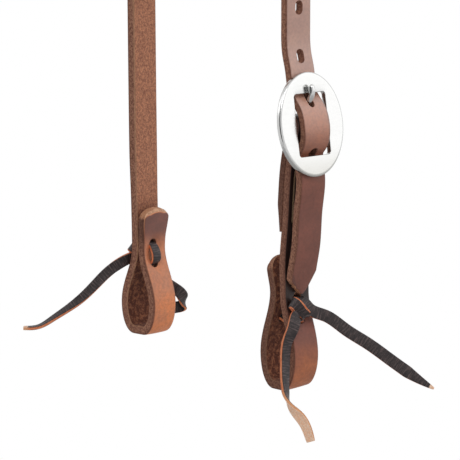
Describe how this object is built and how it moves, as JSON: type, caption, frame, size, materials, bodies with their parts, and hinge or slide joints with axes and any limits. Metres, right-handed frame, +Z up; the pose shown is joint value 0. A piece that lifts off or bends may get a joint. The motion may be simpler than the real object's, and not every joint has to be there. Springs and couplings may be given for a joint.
{
  "type": "western headstall",
  "caption": "Leather western headstall: a crown strap over the poll, a split ear and bit loop on one side, and a buckled cheek and tied bit loop on the other.",
  "frame": {"origin": "middle of the crown strap's underside, where it lies on the horse's poll", "axes": "+Z up, +X across the head to the buckled near side, Y along the strap's width with +Y towards the horse's neck"},
  "size_m": [0.2098, 0.104, 0.4922],
  "materials": {
    "crown_leather": "oiled grain leather with raw suede underside",
    "off_cheek_leather": "oiled grain leather with raw suede underside",
    "off_tie_leather": "dark latigo thong with raw tan edges",
    "billet_leather": "oiled grain leather",
    "near_cheek_leather": "oiled grain leather",
    "near_tie_leather": "dark latigo thong with raw tan edges",
    "waxed_thread": "waxed thread",
    "polished_steel": "satin stainless steel",
    "bar_steel": "plain stainless steel",
    "tongue_steel": "satin stainless steel"
  },
  "bodies": {
    "crown": {"crown_strap": "crown_leather"},
    "off_cheek": {"off_cheek_strap": "off_cheek_leather", "off_bit_tie": "off_tie_leather"},
    "near_billet": {"near_billet_strap": "billet_leather", "buckle_plate": "polished_steel", "buckle_bar": "bar_steel"},
    "near_cheek": {"near_cheek_strap": "near_cheek_leather", "fold_stitching": "waxed_thread", "near_bit_tie": "near_tie_leather"},
    "tongue": {"buckle_tongue": "tongue_steel"}
  },
  "joints": [
    {"name": "off_cheek_swing", "type": "hinge", "parent": "crown", "child": "off_cheek", "pos_m": [-0.058, 0, -0.0543], "axis": [0, 1, 0], "range_deg": [0, 35]},
    {"name": "near_side_swing", "type": "hinge", "parent": "crown", "child": "near_billet", "pos_m": [0.058, 0, -0.0543], "axis": [0, -1, 0], "range_deg": [0, 35]},
    {"name": "near_cheek_swing", "type": "hinge", "parent": "near_billet", "child": "near_cheek", "pos_m": [0.06589, 0, -0.327], "axis": [0, 1, 0], "range_deg": [0, 20]},
    {"name": "tongue_tilt", "type": "hinge", "parent": "near_billet", "child": "tongue", "pos_m": [0.06589, 0, -0.327], "axis": [0, 1, 0], "range_deg": [0, 4]}
  ]
}
